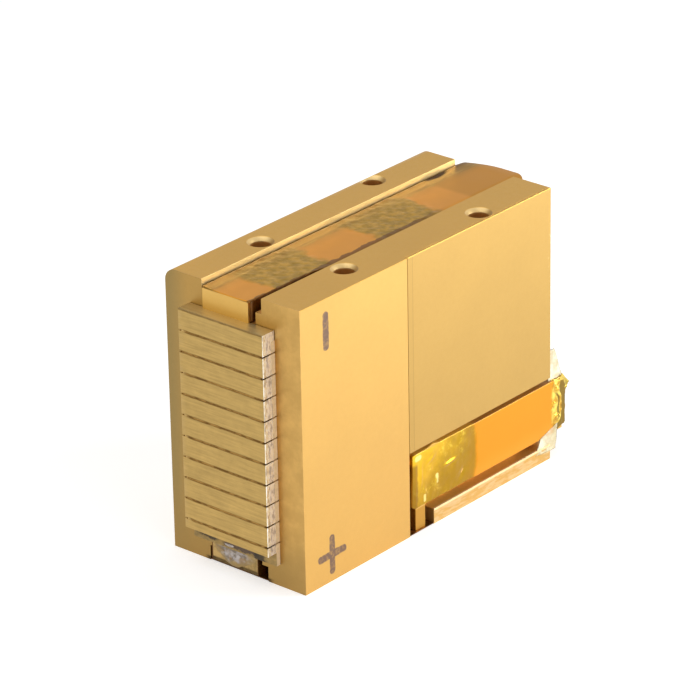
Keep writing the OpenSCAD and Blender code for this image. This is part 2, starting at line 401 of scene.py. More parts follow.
def drifting_gold(name, tone):
    """Starts a gold finish: a tone whose lightness drifts, and that lightness by itself."""
    gold = Finish(name)
    drift = gold.noise(0.12, detail=4) * 0.10 + gold.noise(1.3, detail=5, rough=0.6) * 0.06
    light = drift + gold.noise(9.0, detail=2) * 0.05 + 0.895
    return gold, gold.tint(tone, light), light


def satin(gold, colour, metallic=1.0, rough=0.42):
    """Ends a gold finish: uneven roughness, fine grain, and brush lines that run along the block."""
    grain = gold.noise(14.0, rough=0.6)
    brushed = gold.noise(1.0, detail=4, place=gold.stretched(9.0, 0.6, 9.0))
    return gold.shade(
        Base_Color=colour, Metallic=metallic,
        Roughness=gold.noise(2.0) * 0.12 + (rough - 0.06),
        Normal=gold.bump(grain + brushed * 0.5, 0.012),
    )


def worn_edges(gold, colour, light):
    """A yellower top face, and pale specks, painted glints, high up the far right corner."""
    on_top = gold.z.fade(TOP - 0.12, TOP - 0.02)
    colour = gold.blend(on_top, colour, gold.tint(srgb(208, 163, 80), light))
    # Painted highlights: pale glints high on the far right corner.
    specks = gold.noise(2.2).fade(0.60, 0.66) * gold.y.fade(BACK - 0.5, BACK - 0.2)
    specks = specks * between(gold.z, 21.5, 26.5, 0.4) * gold.x.fade(RIGHT - 0.7, RIGHT - 0.2)
    return gold.blend(specks * 0.8, colour, srgb(246, 222, 165))


def cover_finish():
    """The side cover: a faint line runs up it just behind the seam."""
    gold, colour, light = drifting_gold("cover_gold", srgb(192, 156, 88))
    colour = worn_edges(gold, colour, light)
    past_corner = gold.y - NOTCH_FRONT
    line = between(past_corner, 0.74, 0.84, 0.05) * gold.z.fade(TOP - 0.02, TOP - 0.1)
    strip = past_corner.fade(0.84, 0.74)
    return satin(gold, gold.tint(colour, 0.94 - line * 0.16 - strip * 0.02))


def strap_finish():
    """Both straps: pale gold, smeared with solder at the lower front tab with a painted contact shadow along
    its foot, and duller on the side leg.
    """
    gold, colour, _ = drifting_gold("strap_gold", srgb(220, 178, 98))
    smears = gold.noise(1.1, detail=5, rough=0.65).fade(0.35, 0.65)
    tab = gold.blend(smears, srgb(146, 122, 76), srgb(196, 164, 106))
    # Painted contact shadow along the foot of the tab.
    tab = gold.blend(gold.z.fade(0.66, 0.46) * (smears * 0.4 + 0.5), tab, FOOT_SHADOW)
    soldered = gold.z.fade(4, 3) * gold.y.fade(FRONT + 0.4, FRONT + 0.1)
    colour = gold.blend(soldered, colour, tab)
    leg = gold.z.fade(RECESS_ROOF + 0.05, RECESS_ROOF - 0.15) * gold.x.fade(6.0, 6.5)
    return satin(gold, gold.blend(leg, colour, srgb(188, 142, 62)), rough=0.40)


def dress(node, finish):
    """Gives a CAD node its finish."""
    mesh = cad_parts[node].data
    mesh.materials.clear()
    mesh.materials.append(finish)


strap_gold = strap_finish()
dress("side_cover", cover_finish())
dress("negative_strap", strap_gold)
dress("positive_strap", strap_gold)
print("gold on the side cover and the straps")

# %% [markdown]
# ## Stains and marks on the block
#
# The block's front is duller where flux and heat from soldering have stained it, with a painted contact
# shadow along its foot. The slots are brown with painted shade, the lip under the side slot has pale
# streaks and a painted highlight along its edge, and a plus and a minus are printed on the right side.
# Decals could carry the marks, but a decal is one more sheet to keep clear of the face. Both marks are
# straight bars with round ends, which a distance formula draws right in the finish.

# %% Gold on the block
PLUS_Y, PLUS_Z = FRONT + 4.0, 2.9
MINUS_Y, MINUS_Z = FRONT + 3.7, 26.6


def stained_front(gold, fine):
    """The front's colour: clouded, greener to the left, darker low down, and a painted contact shadow along
    its foot.
    """
    cloud = gold.noise(0.45, detail=5, rough=0.65).fade(0.38, 0.68)
    stained = gold.tint(srgb(186, 148, 82), fine * 0.16 + 0.86)
    stained = gold.blend((cloud * 0.5 + 0.4) * gold.x.fade(0, 6), stained, srgb(212, 170, 98))
    stained = gold.blend(gold.x.fade(-5.2, -8.3) * 0.75, stained, srgb(146, 126, 80))
    stained = gold.blend(gold.z.fade(7.5, 1.5) * 0.75, stained, srgb(158, 127, 72))
    # Painted contact shadow along the foot of the front.
    foot = gold.z.fade(0.50, 0.30) * between(gold.x, -4.2, 4.2, 0.4) * fine.fade(0.15, 0.4)
    return gold.blend(foot * 0.85, stained, FOOT_SHADOW)


def dull_slots(gold, colour, fine, slot_shade):
    """Painted shade in the slots: brown, lighter by the side slot's roof and floor; a painted highlight
    makes the top channel's left wall pale.
    """
    # Painted shade: the slot walls are brown, lighter near the side slot's roof and floor.
    near_floor = gold.z.fade(LIP_TOP + 0.45, LIP_TOP + 0.05)
    near_roof = between(gold.z, cover_bottom - 0.87, cover_bottom + 2.93)
    behind_notch = gold.y.fade(NOTCH_BACK - 0.1, NOTCH_BACK + 0.3)
    brown = gold.blend(near_floor, srgb(160, 120, 48), srgb(226, 176, 88))
    brown = gold.blend(near_roof, brown, srgb(255, 214, 128))
    brown = gold.blend(behind_notch, srgb(224, 164, 84), brown)
    colour = gold.blend(slot_shade, colour, gold.tint(brown, fine * 0.4 + 0.75))
    # Painted highlight: the top channel's left wall, which faces the light, is pale.
    wall = abs(gold.x).fade(CHANNEL_HALF + 0.05, CHANNEL_HALF + 0.01) * gold.x.fade(0, -1)
    wall = wall * gold.z.fade(TOP - 0.79, TOP - 0.54)
    return gold.blend(wall * 0.85, colour, srgb(246, 222, 158))


def rubbed_lip(gold, colour, fine):
    """Pale streaks along the lip's face, and a painted highlight along its upper edge."""
    behind_notch = gold.y.fade(NOTCH_BACK, NOTCH_BACK + 0.1)
    face = gold.z.fade(LIP_TOP - 0.03, LIP_TOP - 0.11) * behind_notch * gold.x.fade(RIGHT - 0.1, RIGHT)
    streaks = gold.noise(1.0, detail=5, rough=0.65, place=gold.stretched(1.0, 0.8, 3.5)).fade(0.42, 0.60)
    colour = gold.blend(face * streaks * 0.45, colour, srgb(226, 206, 168))
    # Painted highlight: a bright line along the lip's upper edge.
    edge = between(gold.z, LIP_TOP - 0.25, LIP_TOP + 0.05) * behind_notch
    edge = edge * gold.x.fade(RIGHT - 0.22, RIGHT - 0.14)
    return gold.blend(edge * (fine * 0.5 + 0.4), colour, srgb(255, 236, 190))


def dark_bores(gold, colour, bore, lit_hole_wall):
    """The tapped holes in painted shade: a darker rim, a painted highlight on the left wall, and brown
    further down.
    """
    # Painted shade in the holes, with a painted highlight on each left wall.
    past_mouth = gold.z.fade(TOP - 0.02, TOP - 0.06)
    colour = gold.blend(bore * past_mouth, colour, srgb(176, 138, 76))
    colour = gold.blend(lit_hole_wall * past_mouth, colour, srgb(222, 190, 128))
    return gold.blend(bore * gold.z.fade(TOP - 0.40, TOP - 0.52), colour, srgb(190, 136, 70))


def rounded_bar(along, across, half_length, radius, wobble):
    """1 inside a bar with round ends, 0 outside: the distance to its middle line, less a radius."""
    soft = 0.06
    past_end = abs(along).above(half_length)
    distance = (past_end * past_end + across * across).root() + wobble
    return distance.fade(radius + soft, radius - soft)


def printed_marks(gold):
    """1 on the plus and the minus: bars with round ends and ragged rims, in worn ink."""
    wobble = gold.wander(1.6, 0.22)
    level, height = gold.y - PLUS_Y, gold.z - PLUS_Z
    level_bar = rounded_bar(level, height, 1.72, 0.40, wobble)
    upright_bar = rounded_bar(height, level, 1.72, 0.40, wobble)
    plus = level_bar.highest(upright_bar)
    minus = rounded_bar(gold.z - MINUS_Z, gold.y - MINUS_Y, 1.6, 0.42, wobble)
    worn = gold.noise(3.0, detail=4).fade(0.25, 0.6) * 0.4 + 0.55
    return plus.highest(minus) * gold.x.fade(RIGHT - 0.06, RIGHT - 0.02) * worn


def block_finish():
    """The block: gold, then what lies on it, from the stains to the printed marks."""
    gold, colour, light = drifting_gold("block_gold", srgb(206, 165, 93))
    fine = gold.noise(2.4, detail=5, rough=0.7)
    colour = worn_edges(gold, colour, light)
    on_front = gold.y.fade(FRONT + 0.10, FRONT + 0.01)
    colour = gold.blend(on_front, colour, stained_front(gold, fine))
    # The mask of the painted shade in the slots.
    slot_shade = in_the_slots(gold)
    colour = dull_slots(gold, colour, fine, slot_shade)
    colour = rubbed_lip(gold, colour, fine)
    bore, lit_hole_wall = in_the_holes(gold)
    colour = dark_bores(gold, colour, bore, lit_hole_wall)
    ink = printed_marks(gold)
    colour = gold.blend(ink, colour, srgb(108, 84, 74))
    # The painted shade in the slots and holes also lowers the metallic.
    return satin(gold, colour, metallic=1.0 - ink * 0.5 - slot_shade * 0.35 - bore * 0.35)


dress("cooler_body", block_finish())
print("gold, stains and marks on the block")

# %% [markdown]
# ## The stack
#
# The spacers are gold-plated copper-tungsten, ground flat, so their fronts carry fine level scratches.
# Their ends are polished paler by handling. The bars between them are cleaved crystal, dark and thin.
# Scratches could be modelled, but at this depth only their tone and gloss show. So they are noise,
# stretched along x, and the same stretched noise sets the bump and the roughness.

# %% Stack finishes
bar_low, bar_high = box_mm("laser_bar_01")
next_bar_low, next_bar_high = box_mm("laser_bar_02")
first_bar = (bar_low[2] + bar_high[2]) / 2
bar_pitch = first_bar - (next_bar_low[2] + next_bar_high[2]) / 2


def uneven_x(finish):
    """x, shifted by up to 4 mm from one level to the next, so that lines end at unlike places."""
    return finish.x + finish.noise(0.8, place=finish.stretched(0.1, 0.1, 1.0)) * 4.0


def bar_lines(metal, blotch):
    """1 on the dark line beside each bar, partly solder and partly painted shade: a pattern that repeats
    with the bars and fades to the left.
    """
    wavering = metal.wander(0.7, 0.16, detail=4, place=metal.stretched(1.0, 1.0, 0.1))
    along_stack = (metal.z + wavering - first_bar) / bar_pitch + 0.5
    from_bar = abs(along_stack.fraction() - 0.5) * bar_pitch
    line = from_bar.fade(0.21, 0.09) * metal.y.fade(stack_low[1] + 0.06, stack_low[1] + 0.02)
    return line * uneven_x(metal).fade(-3.3, -2.6) * (blotch.fade(0.3, 0.6) * 0.45 + 0.40)


def spacer_finish():
    """Ground gold on the front, pale mottled bare metal on the two ends, dull on top."""
    metal = Finish("spacer_gold")
    scratches = metal.noise(1.0, detail=5, rough=0.7, place=metal.stretched(0.22, 3.0, 4.2))
    blotch = metal.noise(0.8, detail=5, rough=0.6)
    front = metal.tint(srgb(192, 160, 96), scratches * 0.80 + blotch * 0.30 + 0.40)
    front = metal.blend(bar_lines(metal, blotch), front, srgb(112, 80, 34))
    left_end = metal.x.fade(-4.6, -5.3) * metal.noise(1.2).fade(0.35, 0.6)
    front = metal.blend(left_end * 0.35, front, srgb(196, 166, 112))
    on_top = metal.z.fade(strap_low[2] - 0.06, strap_low[2] - 0.01)
    front = metal.blend(on_top, front, metal.tint(srgb(208, 188, 136), scratches * 0.4 + 0.78))
    top_edge = on_top.highest(metal.z.fade(strap_low[2] - 0.12, strap_low[2] - 0.06))
    top_edge = top_edge * metal.y.fade(stack_low[1] + 0.12, stack_low[1] + 0.04)
    front = metal.blend(top_edge * 0.85, front, srgb(132, 108, 66))
    at_end = metal.x.fade(stack_high[0] - 0.07, stack_high[0] - 0.02)
    mottle = metal.noise(1.5, detail=4, rough=0.6, place=metal.stretched(1.0, 2.2, 0.8))
    near_front = metal.y.fade(stack_low[1] + 0.52, stack_low[1] + 0.36)
    cream = metal.blend(near_front, srgb(240, 238, 246), srgb(246, 236, 218))
    pale = metal.blend(mottle.fade(0.36, 0.62), metal.tint(cream, 0.66), metal.tint(cream, 1.45))
    return metal.shade(
        Base_Color=metal.blend(at_end, front, pale), Metallic=1.0 - at_end * 0.1,
        Roughness=scratches * 0.15 + 0.38,
        Normal=metal.bump(scratches, 0.025),
    )


def ceramic_finish():
    """Matt aluminium nitride, off-white with a grey grain; under the stack its front is brownish gold, with
    painted shadow to the left and right and a line of solder and painted shade in the middle.
    """
    body = Finish("aluminium_nitride")
    tone = body.noise(3.0, detail=5, rough=0.65) * 0.5 + 0.72
    colour = body.tint(srgb(236, 210, 170), tone)
    # Below the stack: brownish gold, painted shadow to the left and right, and solder with painted shade in
    # the middle.
    flux = body.y.fade(FRONT - 0.50, FRONT - 0.54) * body.z.fade(3.9, 3.8)
    ragged = body.noise(1.1, detail=5, rough=0.65) - 0.5
    across, height = body.x + ragged * 1.2, body.z + ragged * 1.3
    left_shadow = between(across, -5.0, -2.3, 0.3) * height.fade(2.65, 2.95)
    middle_solder_and_shade = between(across, -1.5, 3.0, 0.3) * height.fade(2.5, 2.7) * height.fade(3.35, 3.1)
    right_shadow = between(body.x + ragged, 2.4, 3.9, 0.3)
    below_stack_colour = body.blend(ragged.fade(-0.15, 0.15), srgb(170, 142, 84), srgb(206, 172, 104))
    below_stack_colour = body.blend(middle_solder_and_shade * 0.85, below_stack_colour, srgb(84, 66, 62))
    below_stack_colour = body.blend(left_shadow.highest(right_shadow) * 0.92, below_stack_colour, srgb(46, 36, 16))
    return body.shade(
        Base_Color=body.blend(flux, colour, below_stack_colour), Roughness=0.6,
        Normal=body.bump(body.noise(10.0), 0.015),
    )


def bar_finish():
    """Cleaved gallium arsenide between two films of solder: brown, and smeared over at its left end."""
    crystal = Finish("laser_bar_crystal")
    broken = crystal.noise(1.0, detail=5, rough=0.65, place=crystal.stretched(0.9, 1.0, 2.2))
    colour = crystal.blend(broken.fade(0.38, 0.62), srgb(112, 80, 32), srgb(168, 128, 64))
    smeared = uneven_x(crystal).fade(-2.6, -3.3)
    colour = crystal.blend(smeared * 0.9, colour, srgb(206, 174, 112))
    return crystal.shade(
        Base_Color=colour, Metallic=0.9, Roughness=0.45,
        Normal=crystal.bump(crystal.noise(8.0), 0.004),
    )


for start, finish in (
    ("spacer_", spacer_finish()),
    ("ceramic_", ceramic_finish()),
    ("laser_bar_", bar_finish()),
):
    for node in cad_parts:
        if node.startswith(start):
            dress(node, finish)
print(f"stack dressed, bars {bar_pitch:.2f} mm apart")

# %% [markdown]
# ## Rubber rings
#
# The two water ports on the back are sealed by black rubber rings, slightly dusty. The rings are exact
# solids from the CAD already, so only their finish is made here: a flat black would hide their round
# shape, and a little roughness with a fine bloom keeps a soft shine on it.

# %% Rubber
def rubber_finish():
    """Black rubber with a fine dull bloom."""
    ring = Finish("seal_rubber")
    tone = ring.noise(3.0, detail=4) * 0.5 + 0.75
    return ring.shade(
        Base_Color=ring.tint(srgb(40, 39, 38), tone), Roughness=0.55,
        Normal=ring.bump(ring.noise(12.0), 0.008),
    )


rubber = rubber_finish()
for node in ("inlet_seal", "outlet_seal"):
    dress(node, rubber)
print("rings dressed")

# %% [markdown]
# ## Grids of points
#
# Tape, folds and solder are thin curved things that no modifier gives by itself. They could be sculpted,
# but a formula can be read and changed. So each is worked out as a grid: two numbers run over the
# surface, and a formula turns them into a place. Numpy computes the whole grid at once, and one function
# joins it with four-sided faces.

# %% Grid helpers
def smooth_step(value, low, high):
    """0 below low and 1 above high, with 3t^2 - 2t^3 between; low above high turns it round."""
    part = np.clip((value - low) / (high - low), 0, 1)
    return part * part * (3 - 2 * part)


def waves(a, b, seed, longest, shortest, count=14, sharp=False):
    """Sum of sine waves in random directions, each as high as it is long, scaled to about -1 to 1.

    With sharp, each wave becomes 1 - 2|sin|, whose tops are creases, as in crumpled film.
    """
    draw = np.random.default_rng(seed)
    total = np.zeros(np.broadcast(a, b).shape)
    lengths = np.geomspace(longest, shortest, count)
    for length in lengths:
        turn, phase = draw.uniform(0, 2 * np.pi, 2)
        angle = 2 * np.pi / length * (a * np.cos(turn) + b * np.sin(turn)) + phase
        wave = 1 - 2 * np.abs(np.sin(angle / 2)) if sharp else np.sin(angle)
        total += wave * length
    return total / lengths.sum() * 2


def grid_piece(name, points, finish, ring=False, caps=False, smooth=True):
    """Joins rows of points (rows x columns x 3, in mm) with faces; a ring closes each row on itself.

    The attribute "rim" is 1 along the sheet's border and 0 inside it.
    """
    rows, columns = points.shape[:2]
    index = np.arange(rows * columns).reshape(rows, columns)
    ends = [index[0].tolist(), index[-1].tolist()] if caps else []
    if ring:
        index = np.hstack([index, index[:, :1]])
    quads = np.stack([index[:-1, :-1], index[1:, :-1], index[1:, 1:], index[:-1, 1:]], axis=-1)
    faces = quads.reshape(-1, 4).tolist() + ends
    mesh = bpy.data.meshes.new(name)
    mesh.from_pydata((points.reshape(-1, 3) * MM).tolist(), [], faces)
    if caps:
        shell = bmesh.new()
        shell.from_mesh(mesh)
        bmesh.ops.recalc_face_normals(shell, faces=shell.faces)
        shell.to_mesh(mesh)
        shell.free()
    mesh.polygons.foreach_set("use_smooth", np.full(len(mesh.polygons), smooth))
    mesh.materials.append(finish)
    rim = np.zeros((rows, columns), np.float32)
    rim[[0, -1], :] = rim[:, [0, -1]] = 1
    mesh.attributes.new("rim", "FLOAT", "POINT").data.foreach_set("value", rim.ravel())
    piece = bpy.data.objects.new(name, mesh)
    bpy.context.scene.collection.objects.link(piece)
    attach(piece, "root")
    return piece


def thicken(piece, thickness_mm):
    """Gives a sheet its thickness, away from its outer face."""
    solid = piece.modifiers.new("film_thickness", "SOLIDIFY")
    solid.thickness = thickness_mm * MM
    solid.offset = -1


def rounded_frame(low, high, radius, counts):
    """A rectangle with round corners as a ring of points, counts = points on each of its four sides.

    The sides run right, up, left and down; each corner is a quarter circle of six points.
    """
    (x0, z0), (x1, z1) = low, high
    quarter = np.pi / 2
    corner = np.linspace(0, quarter, 6)
    parts = []
    sides = (
        ((x0 + radius, z0), (x1 - radius, z0), (x1 - radius, z0 + radius), -quarter),
        ((x1, z0 + radius), (x1, z1 - radius), (x1 - radius, z1 - radius), 0),
        ((x1 - radius, z1), (x0 + radius, z1), (x0 + radius, z1 - radius), quarter),
        ((x0, z1 - radius), (x0, z0 + radius), (x0 + radius, z0 + radius), 2 * quarter),
    )
    for (start, end, centre, turn), count in zip(sides, counts):
        share = np.linspace(0, 1, count, endpoint=False)[:, None]
        parts.append(np.array(start) * (1 - share) + np.array(end) * share)
        arc = np.stack([np.cos(corner + turn), np.sin(corner + turn)], axis=1)[:-1]
        parts.append(np.array(centre) + radius * arc)
    return np.concatenate(parts)


print("grid helpers ready")

# %% [markdown]
# ## Polyimide tape
#
# The tape is thin amber film with a glossy face. Where it lies flat on the copper it glows orange, and
# where air is caught under it, it looks olive and mottled. Most of its light comes back from the gold
# below, so it is shaded mostly as a tinted metal, which keeps the amber deep where a plain plastic
# would turn pale under the white tent.

# %% Tape finishes
# On the side tape, loose film gives way to taut film at a border that lies furthest back at one height
# and curves forward above and below it, by BORDER_BOW times the square of the distance.
BORDER_HEIGHT, BORDER_BOW = 5.5, 0.06


def loose_stretch(tape, start, end):
    """1 between two distances behind the block's front, with soft ends that wander a little."""
    return between(tape.y - FRONT + tape.wander(0.45, 2.4, detail=4), start, end, 0.45)


def top_tape_finish():
    """Amber tape on the upper strap: two mottled stretches, painted shade towards the left and along both
    edges, and a painted shadow by the left wall at the back.
    """
    tape = Finish("top_tape")
    along = tape.y - FRONT
    lifted = (loose_stretch(tape, 3.4, 11.9) + loose_stretch(tape, 18.8, 28.2)).clipped()
    bubbles = tape.noise(1.2, detail=7, rough=0.62)
    mottle = tape.blend(bubbles.fade(0.36, 0.66), srgb(152, 120, 38), srgb(188, 147, 54))
    flat = tape.tint(srgb(216, 148, 50), tape.noise(0.5) * 0.14 + 0.92)
    flat = tape.blend(along.fade(32.3, 33.2) * 0.75, flat, srgb(190, 132, 34))
    colour = tape.blend(lifted * 0.95, flat, mottle)

    streaks = tape.noise(1.0, detail=5, rough=0.6, place=tape.stretched(3.0, 0.35, 1.0)).fade(0.42, 0.62)
    margin = (tape.x + tape.wander(0.6, 1.4)).fade(-1.9, -2.4)
    streaky = tape.blend(streaks, srgb(168, 124, 44), srgb(204, 160, 66))
    colour = tape.blend(margin * 0.8, colour, streaky)
    # Painted shade over the left part, and a dark painted line along the left edge.
    shaded = tape.blend(lifted, srgb(146, 112, 46), srgb(116, 94, 36))
    colour = tape.blend(tape.x.fade(-0.8, -3.2) * 0.8, colour, shaded)
    left_edge = tape.x.fade(-2.6, -3.5) * (tape.noise(0.6).fade(0.35, 0.6) * 0.3 + 0.6)
    colour = tape.blend(left_edge, colour, srgb(112, 76, 22))

    # Painted shadow where the tape dips by the left wall near the back.
    spot_x, spot_y = tape.x + 3.7, along - 34.7
    from_spot = (spot_x * spot_x * 2 + spot_y * spot_y * 0.4).root() + tape.noise(1.5) * 0.4
    wall_shadow = from_spot.fade(1.5, 1.1) * 0.95
    colour = tape.blend(wall_shadow, colour, srgb(60, 34, 8))
    # Painted shade along the right margin, beside the channel wall.
    right_edge = (tape.x + tape.wander(0.9, 0.8, detail=4)).fade(2.20, 2.30)
    colour = tape.blend(right_edge * along.fade(30, 24) * 0.85, colour, srgb(112, 72, 24))
    return tape.shade(
        Base_Color=colour, Metallic=wall_shadow * -0.7 + 0.92, Roughness=wall_shadow * 0.4 + 0.40,
        Normal=tape.bump(bubbles * lifted, 0.03),
    )


def loose_side(tape, along):
    """The side tape where air is under it: yellow at the upper front, olive at the lower rear, glinting."""
    slope = (along - 16.8) * 0.085 + (8.4 - tape.z) * 0.11 + tape.wander(0.5, 0.9, detail=5, rough=0.6)
    loose = tape.blend(slope.fade(-0.05, 0.95), srgb(240, 192, 46), srgb(170, 132, 18))
    flecks = tape.noise(0.8, detail=6, rough=0.7).fade(0.54, 0.70)
    loose = tape.blend(flecks * 0.6 * slope.fade(1.2, 0.4), loose, srgb(255, 226, 84))
    ragged = (flecks - 0.5) * 0.16
    tall_glint = rounded_bar(tape.z - 4.75, along - 20.2, 0.35, 0.14, ragged)
    short_glint = rounded_bar(tape.z - 3.3, along - 18.3, 0.25, 0.10, ragged)
    corner_glint = rounded_bar(along - 17.3, tape.z - 8.0, 0.25, 0.22, ragged)
    glints = tall_glint.highest(short_glint).highest(corner_glint)
    return tape.blend(glints * 0.75, loose, srgb(255, 240, 150))


def pinched_side(tape, along, folds, off_middle, colour):
    """The last two millimetres: crumpled yellow with painted highlights, then a dark hollow of painted
    shade, then olive at the very end.
    """
    ragged = along + tape.wander(0.9, 1.3, detail=4) - off_middle * 0.03
    # Painted highlights on the crumpled film.
    crumpled = tape.blend(folds.fade(0.38, 0.62), srgb(196, 142, 34), srgb(255, 226, 104))
    colour = tape.blend(ragged.fade(38.3, 38.7), colour, crumpled)
    far = along + tape.wander(0.7, 1.1, detail=4) + tape.z.fade(4.2, 3.0) + tape.z.fade(6.3, 7.1) * 0.4
    # Painted shade in the hollow behind the crumples.
    hollow = between(far, 39.65, 39.95, 0.10) * between(tape.z, 3.9, 7.0, 0.3)
    colour = tape.blend(hollow * 0.9, colour, srgb(112, 86, 14))
    return tape.blend(far.fade(40.2, 40.35), colour, srgb(138, 110, 36))


def side_tape_finish():
    """Amber tape on the side: yellow to olive where loose, then clear orange, crumpled, and olive, with
    painted shade along its top edge.
    """
    tape = Finish("side_tape")
    along = tape.y - FRONT
    off_middle = (tape.z - BORDER_HEIGHT) * (tape.z - BORDER_HEIGHT)
    border = along + off_middle * BORDER_BOW + tape.wander(0.6, 1.1, detail=4)
    taut = border.fade(26.0, 26.9)
    rim = between(border, 25.2, 26.3, 0.4) * 0.6
    loose = tape.blend(rim, loose_side(tape, along), srgb(176, 130, 36))
    orange = tape.tint(srgb(238, 152, 28), tape.noise(0.4) * 0.06 + 0.97)
    orange = tape.blend(tape.z.fade(4.6, 2.8) * 0.5, orange, srgb(238, 164, 50))
    colour = tape.blend(taut, loose, orange)
    # Painted shade along the top edge: darker and less metallic, so that it shows no highlight.
    top = tape.z.fade(plate_high[2] - 0.10, plate_high[2] - 0.03)
    colour = tape.blend(top * 0.95, colour, tape.blend(taut, srgb(206, 160, 58), srgb(168, 118, 46)))
    front_fold = (along + tape.wander(1.4, 0.4)).fade(17.35, 17.05) * tape.z.fade(7.6, 7.1)
    colour = tape.blend(front_fold * 0.7, colour, srgb(138, 98, 34))
    folds = tape.noise(1.0, detail=5, rough=0.6)
    return tape.shade(
        Base_Color=pinched_side(tape, along, folds, off_middle, colour),
        Metallic=top * -0.6 + 0.9, Roughness=top * 0.3 + 0.30,
        Coat_Weight=0.06, Coat_Roughness=0.12,
        Normal=tape.bump(folds * (1 - taut), 0.03),
    )


def plain_tape_finish(name, tone, dark, metallic=0.6):
    """Film in two tones, for the pieces that are seen edge-on or in shadow."""
    tape = Finish(name)
    patches = tape.noise(1.1, detail=5, rough=0.6).fade(0.35, 0.65)
    return tape.shade(
        Base_Color=tape.blend(patches, dark, tone), Metallic=metallic, Roughness=0.3,
        Normal=tape.bump(tape.noise(2.0), 0.03),
    )


top_tape = top_tape_finish()
side_tape = side_tape_finish()
shade_tape = plain_tape_finish("tape_in_shade", srgb(130, 84, 30), srgb(84, 52, 18))
olive_tape = plain_tape_finish("tape_end", srgb(150, 122, 50), srgb(104, 84, 28), metallic=0.3)
fold_tape = plain_tape_finish("tape_fold", srgb(226, 196, 92), srgb(150, 130, 44), metallic=0.7)
dress("lower_channel_film", shade_tape)
print("five tape finishes")

# %% [markdown]
# ## Tape on the upper strap
#
# Two layers lie on the upper strap: a close sleeve round it, and a wider ribbon on top whose edges were
# cut by hand and whose ends are rounded. A cloth simulation could drape the ribbon, but it would come
# out a little different with each change. A ribbon is simple enough to write down: its two edges and its
# height are functions of the way along it. The strap's bare bar is drawn again inside, because its rear
# end has to follow the tape's rounding.

# %% Ribbon, sleeve and bar
GAP, TAPE_THICK = 0.07, 0.05
tape_top = strap_high[2] + 0.08


def rear_rounding(x):
    """How far the rear end is set back at x: a wide curve to the left and a tight one to the right."""
    left_part = np.clip(0.5 - x, 0, None) / 4.9
    right_part = np.clip(x - 2.3, 0, None) / 1.7
    return 1.55 * left_part ** 2 + 1.2 * right_part ** 2.2


def top_tape_edges(length):
    """The ribbon's left and right edge at a length behind the block's front, in x.

    The left edge is nearly straight. The right one follows the strap for 8 mm, then widens past it and
    wavers. Both flare where the ribbon leaves the block.
    """
    flare = smooth_step(length, 38.2, 39.3)
    back_part = smooth_step(length, 30, 36)
    left = -3.54 + 0.03 * waves(length, 0, 3, longest=9, shortest=2) - 0.8 * flare
    wavering = 0.24 * waves(length, 0, 5, longest=5, shortest=0.7, count=20)
    right = strap_high[0] + 0.09 + smooth_step(length, 7.4, 13.0) * (0.78 + wavering)
    right = right + 0.3 * back_part + 0.45 * flare
    return left, np.minimum(right, 3.50 + 0.12 * back_part + 0.5 * flare)


def top_tape_points():
    """The ribbon: x runs from edge to edge, y is the length less the rear rounding, z is the height.

    The front edge bows forward by a tenth of a millimetre. The height ripples where the tape is loose,
    falls off outside the strap with the power 1.5 of the distance, and drops a little at the rear.
    """
    start, end = -0.27, 40.63
    along, across = np.meshgrid(np.linspace(0, 1, 300), np.linspace(0, 1, 70), indexing="ij")
    length = start + (end - start) * along
    left, right = top_tape_edges(length)
    x = left + (right - left) * across
    y = length - rear_rounding(x) * smooth_step(length, 36.5, 40.6)
    y = y - 0.10 * np.cos((x + 0.5) / 3.0 * np.pi / 2) * smooth_step(length, 1.0, -0.2)
    loose = smooth_step(length, 2.6, 4.4) * smooth_step(length, 12.4, 11)
    loose = loose + smooth_step(length, 18, 19.6) * smooth_step(length, 29, 27.6)
    z = tape_top - 0.035 + 0.02 * waves(x, length, 7, longest=9, shortest=3)
    z = z + 0.035 * loose * waves(x, length, 11, longest=2.2, shortest=0.5)
    past_right = np.clip(x - strap_high[0] - 0.1, 0, None)
    past_left = np.clip(strap_low[0] - 0.02 - x, 0, None)
    z = z - 0.16 * past_right ** 1.5 + 0.03 * past_right * waves(length, x, 13, longest=3, shortest=0.8)
    z = z - 0.5 * past_left ** 1.5 - 0.12 * smooth_step(length, 38.8, 41.2) ** 2
    return np.stack([x, y + FRONT, z], axis=-1)


def sleeve_points(low, high, radius, start, end, closed=False):
    """A rounded frame, drawn in x and z, carried along y to a rear end that follows rear_rounding.

    When closed, five more rows there draw the frame together to its middle height as an end wall.
    """
    frame_points = rounded_frame(low, high, radius, (24, 8, 24, 8))
    reach = np.linspace(start, end, 60)[:, None]
    x = frame_points[None, :, 0] + 0 * reach
    z = frame_points[None, :, 1] + 0 * reach
    y = reach - rear_rounding(x) * smooth_step(reach, end - 4, end)
    points = np.stack([x, y, z], axis=-1)
    if not closed:
        return points
    wall = np.repeat(points[-1:], 5, axis=0)
    middle = (low[1] + high[1]) / 2
    wall[:, :, 2] = middle + (wall[:, :, 2] - middle) * np.linspace(0.8, 0.02, 5)[:, None]
    return np.concatenate([points, wall])


